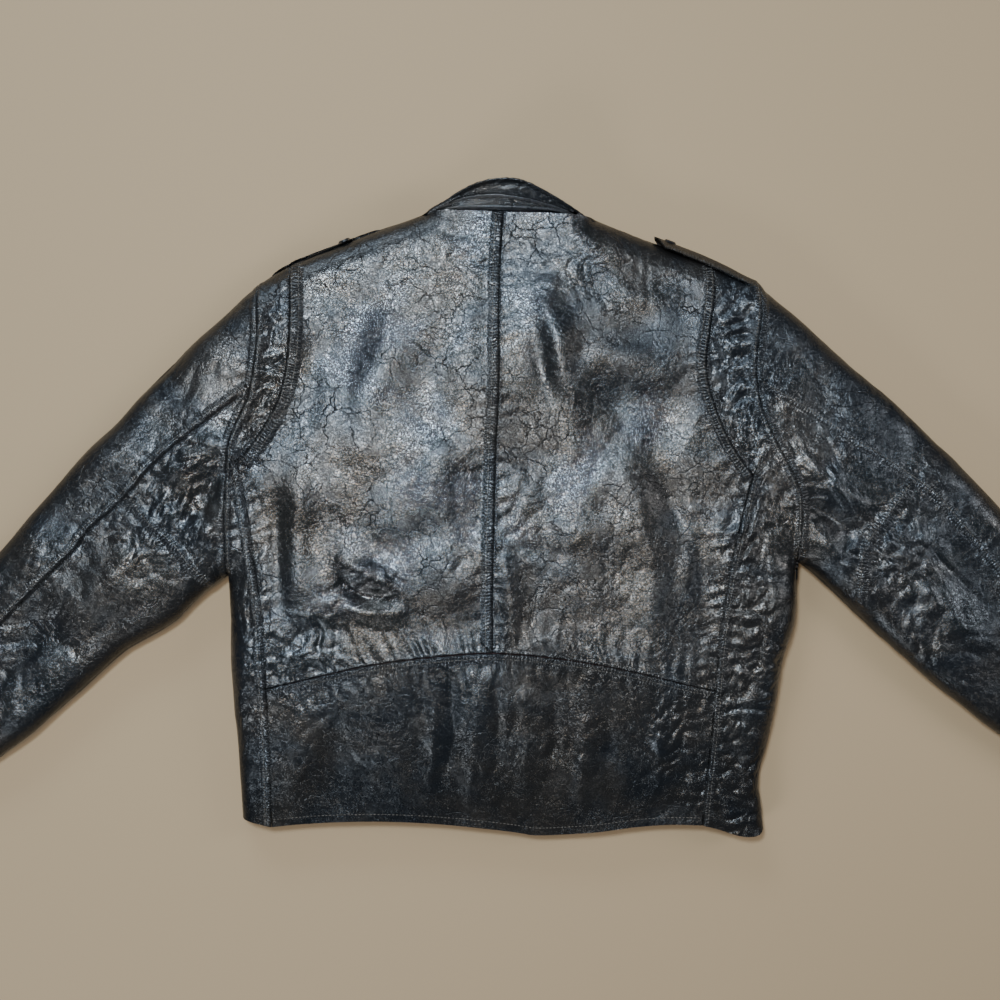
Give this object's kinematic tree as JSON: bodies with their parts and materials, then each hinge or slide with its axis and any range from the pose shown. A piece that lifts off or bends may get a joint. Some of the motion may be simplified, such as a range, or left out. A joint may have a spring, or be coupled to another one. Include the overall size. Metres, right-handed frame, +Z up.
{
  "type": "leather jacket",
  "caption": "Black leather work jacket lying face down, with fold-down collar, shoulder straps, pleated back, panelled body and long sleeves",
  "frame": {"origin": "middle of the bounding box, on the surface the jacket lies on", "axes": "X across the back from sleeve to sleeve, Y from hem to collar, Z up out of the back"},
  "size_m": [1.4088, 0.659, 0.0735],
  "materials": {
    "black_leather": "worn semi-gloss pebbled cowhide",
    "lining_cloth": "satin twill lining",
    "pocket_cloth": "plain cotton twill",
    "zip_metal": "aged nickel-plated zip metal",
    "snap_enamel": "black enamelled press stud, worn at its edge"
  },
  "bodies": {
    "jacket_body": {"back_panel_left": "black_leather", "back_panel_right": "black_leather", "lower_back_panel": "black_leather", "action_pleat_left": "black_leather", "action_pleat_right": "black_leather", "side_panel_left": "black_leather", "side_panel_right": "black_leather", "front_panel_left": "black_leather", "front_panel_right": "black_leather", "back_lining": "lining_cloth", "hem_facing": "black_leather", "hanger_loop": "black_leather", "pocket_bag_left": "pocket_cloth", "pocket_bag_right": "pocket_cloth", "pocket_zip_left": "zip_metal", "pocket_zip_right": "zip_metal", "epaulet_snap_studs": "snap_enamel"},
    "collar": {"collar_stand": "black_leather", "collar_leaf": "black_leather"},
    "left_front": {"front_edge_left": "black_leather", "front_facing_left": "lining_cloth", "front_zip_chain_left": "zip_metal", "collar_front_left": "black_leather"},
    "right_front": {"front_edge_right": "black_leather", "front_facing_right": "lining_cloth", "front_zip_chain_right": "zip_metal", "collar_front_right": "black_leather"},
    "left_epaulet": {"epaulet_left": "black_leather", "epaulet_snap_cap_left": "snap_enamel"},
    "right_epaulet": {"epaulet_right": "black_leather", "epaulet_snap_cap_right": "snap_enamel"},
    "left_upper_sleeve": {"upper_sleeve_top_left": "black_leather", "upper_sleeve_under_left": "black_leather", "upper_sleeve_lining_left": "lining_cloth"},
    "right_upper_sleeve": {"upper_sleeve_top_right": "black_leather", "upper_sleeve_under_right": "black_leather", "upper_sleeve_lining_right": "lining_cloth"},
    "left_forearm": {"forearm_top_left": "black_leather", "forearm_under_left": "black_leather", "forearm_lining_left": "lining_cloth", "cuff_facing_left": "black_leather", "cuff_zip_left": "zip_metal"},
    "right_forearm": {"forearm_top_right": "black_leather", "forearm_under_right": "black_leather", "forearm_lining_right": "lining_cloth", "cuff_facing_right": "black_leather", "cuff_zip_right": "zip_metal"},
    "front_slider": {"front_zip_slider": "zip_metal"},
    "front_pull": {"front_zip_pull": "zip_metal"},
    "left_pocket_slider": {"pocket_slider_left": "zip_metal"},
    "left_pocket_pull": {"pocket_pull_left": "zip_metal"},
    "right_pocket_slider": {"pocket_slider_right": "zip_metal"},
    "right_pocket_pull": {"pocket_pull_right": "zip_metal"},
    "left_cuff_slider": {"cuff_slider_left": "zip_metal"},
    "left_cuff_pull": {"cuff_pull_left": "zip_metal"},
    "right_cuff_slider": {"cuff_slider_right": "zip_metal"},
    "right_cuff_pull": {"cuff_pull_right": "zip_metal"}
  },
  "joints": [
    {"name": "left_shoulder_fold", "type": "hinge", "parent": "jacket_body", "child": "left_upper_sleeve", "pos_m": [-0.2715, 0.0775, 0.0442], "axis": [0.1059, 0.9944, 0], "range_deg": [0, 70]},
    {"name": "right_shoulder_fold", "type": "hinge", "parent": "jacket_body", "child": "right_upper_sleeve", "pos_m": [0.264, 0.0855, 0.0442], "axis": [0.1419, -0.9899, 0], "range_deg": [0, 70]},
    {"name": "left_elbow_fold", "type": "hinge", "parent": "left_upper_sleeve", "child": "left_forearm", "pos_m": [-0.4535, -0.095, 0.042], "axis": [-0.6785, 0.7346, 0], "range_deg": [0, 60]},
    {"name": "right_elbow_fold", "type": "hinge", "parent": "right_upper_sleeve", "child": "right_forearm", "pos_m": [0.447, -0.082, 0.042], "axis": [-0.6147, -0.7887, 0], "range_deg": [0, 60]},
    {"name": "left_front_opening", "type": "hinge", "parent": "jacket_body", "child": "left_front", "pos_m": [-0.1205, -0.0115, 0], "axis": [0.0961, 0.9954, 0], "range_deg": [0, 150]},
    {"name": "right_front_opening", "type": "hinge", "parent": "jacket_body", "child": "right_front", "pos_m": [0.1075, -0.0175, 0], "axis": [0.0864, -0.9963, 0], "range_deg": [0, 150]},
    {"name": "collar_turn", "type": "hinge", "parent": "jacket_body", "child": "collar", "pos_m": [-0.005, 0.2985, 0.0445], "axis": [1, 0, 0], "range_deg": [0, 90]},
    {"name": "left_epaulet_lift", "type": "hinge", "parent": "jacket_body", "child": "left_epaulet", "pos_m": [-0.26035, 0.2331, 0.004], "axis": [0.0889, -0.2066, 0.9744], "range_deg": [0, 90]},
    {"name": "right_epaulet_lift", "type": "hinge", "parent": "jacket_body", "child": "right_epaulet", "pos_m": [0.24797, 0.23526, 0.004], "axis": [0.0811, 0.2098, -0.9744], "range_deg": [0, 90]},
    {"name": "front_zip_slide", "type": "slide", "parent": "left_front", "child": "front_slider", "axis": [0, -1, 0], "range_m": [0, 0.54]},
    {"name": "front_zip_pull_swing", "type": "hinge", "parent": "front_slider", "child": "front_pull", "pos_m": [-0.008, 0.241, 0.0011], "axis": [1, 0, 0], "range_deg": [0, 120]},
    {"name": "left_pocket_zip_slide", "type": "slide", "parent": "jacket_body", "child": "left_pocket_slider", "axis": [-0.0647, -0.9979, 0], "range_m": [0, 0.094]},
    {"name": "left_pocket_zip_pull_swing", "type": "hinge", "parent": "left_pocket_slider", "child": "left_pocket_pull", "pos_m": [-0.20019, -0.13299, 0.0011], "axis": [0.9979, -0.0647, 0], "range_deg": [0, 120]},
    {"name": "right_pocket_zip_slide", "type": "slide", "parent": "jacket_body", "child": "right_pocket_slider", "axis": [0.0462, -0.9989, 0], "range_m": [0, 0.094]},
    {"name": "right_pocket_zip_pull_swing", "type": "hinge", "parent": "right_pocket_slider", "child": "right_pocket_pull", "pos_m": [0.17414, -0.135, 0.0011], "axis": [0.9989, 0.0462, 0], "range_deg": [0, 120]},
    {"name": "left_cuff_zip_slide", "type": "slide", "parent": "left_forearm", "child": "left_cuff_slider", "axis": [0.7484, 0.6633, 0], "range_m": [0, 0.104]},
    {"name": "left_cuff_zip_pull_swing", "type": "hinge", "parent": "left_cuff_slider", "child": "left_cuff_pull", "pos_m": [-0.65128, -0.27072, 0.0011], "axis": [-0.6633, 0.7484, 0], "range_deg": [0, 120]},
    {"name": "right_cuff_zip_slide", "type": "slide", "parent": "right_forearm", "child": "right_cuff_slider", "axis": [-0.7717, 0.636, 0], "range_m": [0, 0.104]},
    {"name": "right_cuff_zip_pull_swing", "type": "hinge", "parent": "right_cuff_slider", "child": "right_cuff_pull", "pos_m": [0.64988, -0.24919, 0.0011], "axis": [-0.636, -0.7717, 0], "range_deg": [0, 120]}
  ]
}
